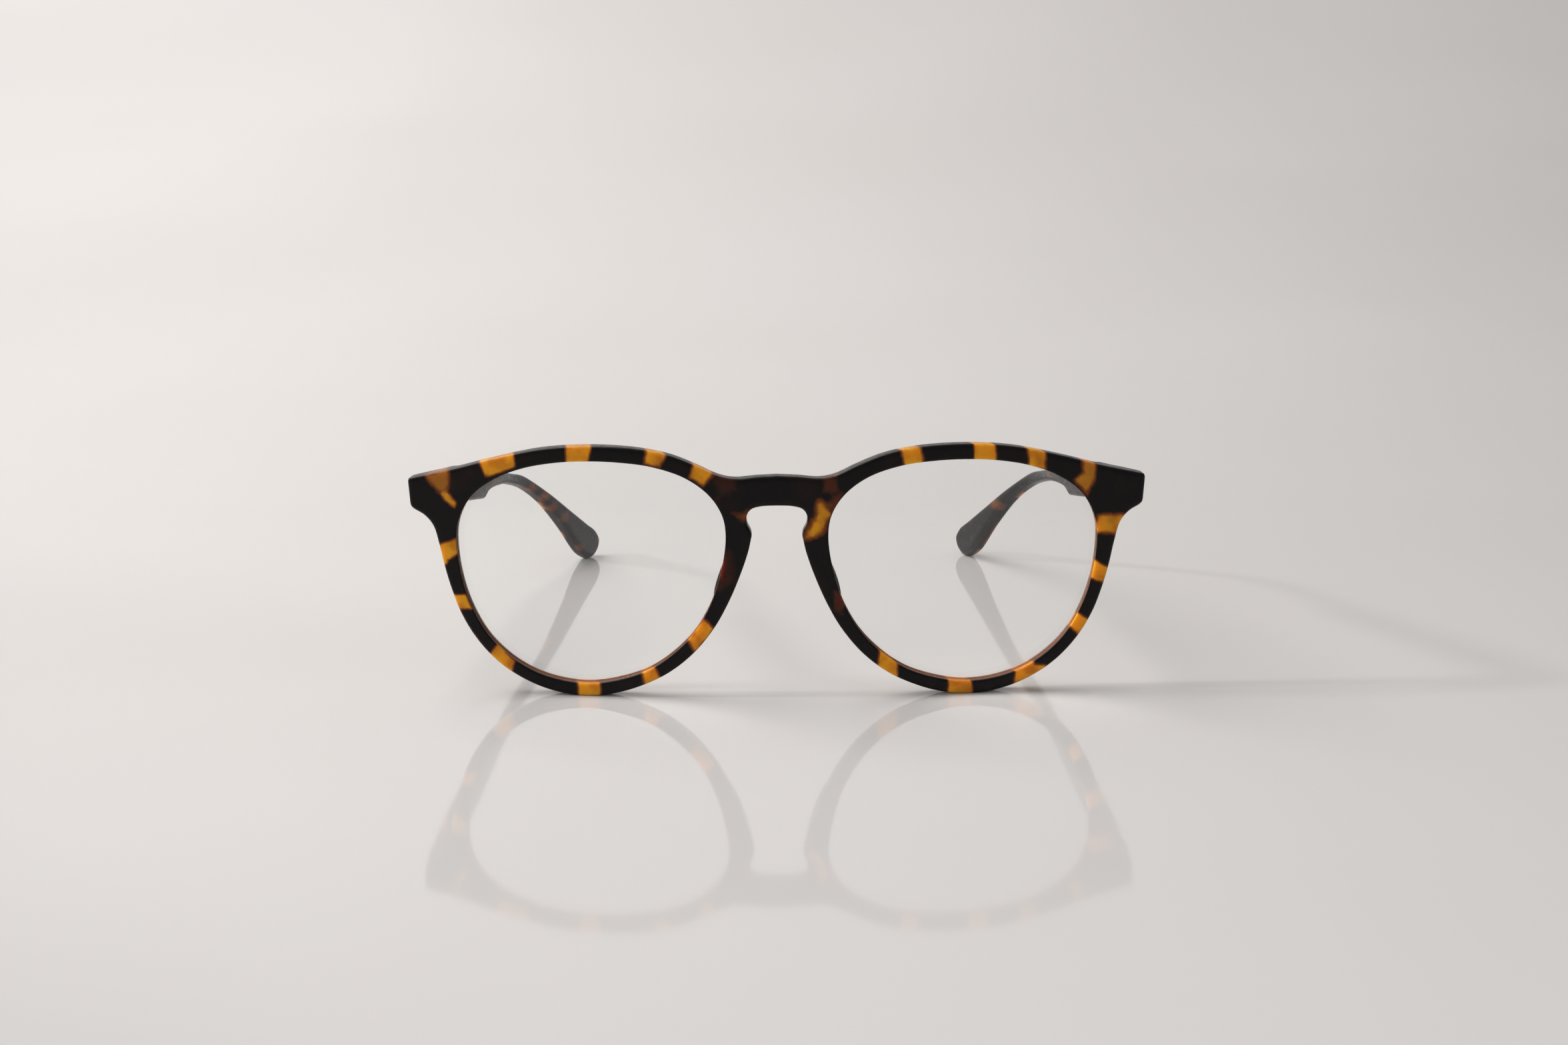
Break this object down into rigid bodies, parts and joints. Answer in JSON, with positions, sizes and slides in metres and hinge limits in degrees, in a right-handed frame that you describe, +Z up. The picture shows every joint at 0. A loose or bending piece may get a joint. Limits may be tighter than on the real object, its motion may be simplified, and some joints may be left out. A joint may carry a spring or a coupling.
{
  "type": "spectacles",
  "caption": "Plastic spectacles with round panto lenses, a keyhole bridge and folding temples with turned-down tips.",
  "frame": {"origin": "on the standing plane, at the centre of the bounding box", "axes": "+X to the right seen from the front, +Y from the front back along the temples, +Z up"},
  "size_m": [0.1406, 0.1392, 0.0481],
  "materials": {
    "tortoise_acetate": "near-black brown acetate with amber patches, tumbled to a satin gloss",
    "clear_lens": "clear polished demonstration lens",
    "hinge_steel": "satin",
    "core_wire_steel": "drawn wire"
  },
  "bodies": {
    "front": {"frame_front": "tortoise_acetate", "lens_right": "clear_lens", "lens_left": "clear_lens", "nose_pad_right": "tortoise_acetate", "nose_pad_left": "tortoise_acetate", "front_hinge_leaf_right": "hinge_steel", "front_hinge_leaf_left": "hinge_steel", "hinge_screw_right": "hinge_steel", "hinge_screw_left": "hinge_steel"},
    "temple_right": {"temple_right": "tortoise_acetate", "temple_hinge_leaf_right": "hinge_steel", "core_wire_right": "core_wire_steel"},
    "temple_left": {"temple_left": "tortoise_acetate", "temple_hinge_leaf_left": "hinge_steel", "core_wire_left": "core_wire_steel"}
  },
  "joints": [
    {"name": "fold_right", "type": "hinge", "parent": "front", "child": "temple_right", "pos_m": [0.0642, -0.0558, 0.0381], "axis": [0, 0, 1], "range_deg": [0, 84]},
    {"name": "fold_left", "type": "hinge", "parent": "front", "child": "temple_left", "pos_m": [-0.0642, -0.0558, 0.0381], "axis": [0, 0, -1], "range_deg": [0, 76]}
  ]
}
